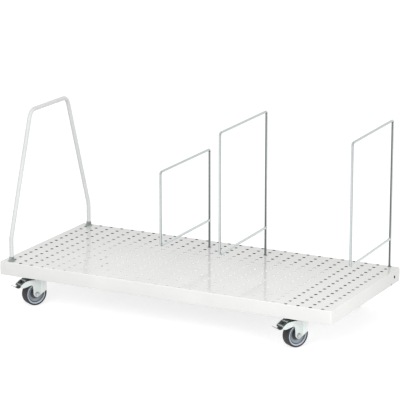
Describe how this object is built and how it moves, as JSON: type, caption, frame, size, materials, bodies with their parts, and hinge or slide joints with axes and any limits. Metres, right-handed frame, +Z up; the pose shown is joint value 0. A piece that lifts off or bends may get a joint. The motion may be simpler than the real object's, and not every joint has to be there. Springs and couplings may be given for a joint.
{
  "type": "mobile carton rack",
  "caption": "Low perforated steel platform on braked swivel castors, with a bent-tube end frame and plug-in wire dividers that keep flat cartons upright.",
  "frame": {"origin": "on the floor under the middle of the tray", "axes": "+X along the tray from the end frame to the open end, +Y to the rear, +Z up"},
  "size_m": [1.2, 0.6222, 0.64],
  "materials": {
    "enamel": "glossy light grey enamel",
    "frame_enamel": "satin light grey enamel",
    "zinc": "bright zinc plating",
    "steel": "plain plated steel",
    "rim_plastic": "moulded blue grey plastic",
    "tyre": "dark grey rubber",
    "pedal_plastic": "dark green moulded plastic"
  },
  "bodies": {
    "rack": {"deck_tray": "enamel", "castor_channel_left": "steel", "castor_channel_right": "steel", "end_frame": "frame_enamel", "frame_nut_front": "zinc", "frame_lock_nut_front": "zinc", "frame_nut_rear": "zinc", "frame_lock_nut_rear": "zinc", "front_left_castor_plate": "zinc", "front_left_plate_bolt_1": "steel", "front_left_plate_bolt_2": "steel", "front_left_plate_bolt_3": "steel", "front_left_plate_bolt_4": "steel", "front_right_castor_plate": "zinc", "front_right_plate_bolt_1": "steel", "front_right_plate_bolt_2": "steel", "front_right_plate_bolt_3": "steel", "front_right_plate_bolt_4": "steel", "rear_left_castor_plate": "zinc", "rear_left_plate_bolt_1": "steel", "rear_left_plate_bolt_2": "steel", "rear_left_plate_bolt_3": "steel", "rear_left_plate_bolt_4": "steel", "rear_right_castor_plate": "zinc", "rear_right_plate_bolt_1": "steel", "rear_right_plate_bolt_2": "steel", "rear_right_plate_bolt_3": "steel", "rear_right_plate_bolt_4": "steel"},
    "short_divider": {"divider_short": "zinc"},
    "middle_divider": {"divider_tall_middle": "zinc"},
    "right_divider": {"divider_tall_right": "zinc"},
    "front_left_castor": {"front_left_fork": "zinc", "front_left_axle_bolt": "steel", "front_left_axle_nut": "steel"},
    "front_left_wheel": {"front_left_wheel_rim": "rim_plastic", "front_left_tyre": "tyre"},
    "front_left_pedal": {"front_left_brake_pedal": "pedal_plastic", "front_left_pedal_lip": "steel"},
    "front_right_castor": {"front_right_fork": "zinc", "front_right_axle_bolt": "steel", "front_right_axle_nut": "steel"},
    "front_right_wheel": {"front_right_wheel_rim": "rim_plastic", "front_right_tyre": "tyre"},
    "front_right_pedal": {"front_right_brake_pedal": "pedal_plastic", "front_right_pedal_lip": "steel"},
    "rear_left_castor": {"rear_left_fork": "zinc", "rear_left_axle_bolt": "steel", "rear_left_axle_nut": "steel"},
    "rear_left_wheel": {"rear_left_wheel_rim": "rim_plastic", "rear_left_tyre": "tyre"},
    "rear_left_pedal": {"rear_left_brake_pedal": "pedal_plastic", "rear_left_pedal_lip": "steel"},
    "rear_right_castor": {"rear_right_fork": "zinc", "rear_right_axle_bolt": "steel", "rear_right_axle_nut": "steel"},
    "rear_right_wheel": {"rear_right_wheel_rim": "rim_plastic", "rear_right_tyre": "tyre"},
    "rear_right_pedal": {"rear_right_brake_pedal": "pedal_plastic", "rear_right_pedal_lip": "steel"}
  },
  "joints": [
    {"name": "short_divider_lift", "type": "slide", "parent": "rack", "child": "short_divider", "axis": [0, 0, 1], "range_m": [0, 0.03]},
    {"name": "middle_divider_lift", "type": "slide", "parent": "rack", "child": "middle_divider", "axis": [0, 0, 1], "range_m": [0, 0.03]},
    {"name": "right_divider_lift", "type": "slide", "parent": "rack", "child": "right_divider", "axis": [0, 0, 1], "range_m": [0, 0.03]},
    {"name": "front_left_swivel", "type": "hinge", "parent": "rack", "child": "front_left_castor", "pos_m": [-0.477, -0.2025, 0.09], "axis": [0, 0, 1], "continuous": true},
    {"name": "front_left_wheel_spin", "type": "hinge", "parent": "front_left_castor", "child": "front_left_wheel", "pos_m": [-0.4937, -0.23326, 0.04], "axis": [0.8788, -0.4772, 0], "continuous": true},
    {"name": "front_left_pedal_press", "type": "hinge", "parent": "front_left_castor", "child": "front_left_pedal", "pos_m": [-0.49465, -0.23502, 0.086], "axis": [0.8788, -0.4772, 0], "range_deg": [0, 10]},
    {"name": "front_right_swivel", "type": "hinge", "parent": "rack", "child": "front_right_castor", "pos_m": [0.477, -0.2025, 0.09], "axis": [0, 0, 1], "continuous": true},
    {"name": "front_right_wheel_spin", "type": "hinge", "parent": "front_right_castor", "child": "front_right_wheel", "pos_m": [0.4603, -0.23326, 0.04], "axis": [0.8788, -0.4772, 0], "continuous": true},
    {"name": "front_right_pedal_press", "type": "hinge", "parent": "front_right_castor", "child": "front_right_pedal", "pos_m": [0.45935, -0.23502, 0.086], "axis": [0.8788, -0.4772, 0], "range_deg": [0, 10]},
    {"name": "rear_left_swivel", "type": "hinge", "parent": "rack", "child": "rear_left_castor", "pos_m": [-0.477, 0.2025, 0.09], "axis": [0, 0, 1], "continuous": true},
    {"name": "rear_left_wheel_spin", "type": "hinge", "parent": "rear_left_castor", "child": "rear_left_wheel", "pos_m": [-0.4937, 0.23326, 0.04], "axis": [-0.8788, -0.4772, 0], "continuous": true},
    {"name": "rear_left_pedal_press", "type": "hinge", "parent": "rear_left_castor", "child": "rear_left_pedal", "pos_m": [-0.49465, 0.23502, 0.086], "axis": [-0.8788, -0.4772, 0], "range_deg": [0, 10]},
    {"name": "rear_right_swivel", "type": "hinge", "parent": "rack", "child": "rear_right_castor", "pos_m": [0.477, 0.2025, 0.09], "axis": [0, 0, 1], "continuous": true},
    {"name": "rear_right_wheel_spin", "type": "hinge", "parent": "rear_right_castor", "child": "rear_right_wheel", "pos_m": [0.4603, 0.23326, 0.04], "axis": [-0.8788, -0.4772, 0], "continuous": true},
    {"name": "rear_right_pedal_press", "type": "hinge", "parent": "rear_right_castor", "child": "rear_right_pedal", "pos_m": [0.45935, 0.23502, 0.086], "axis": [-0.8788, -0.4772, 0], "range_deg": [0, 10]}
  ]
}
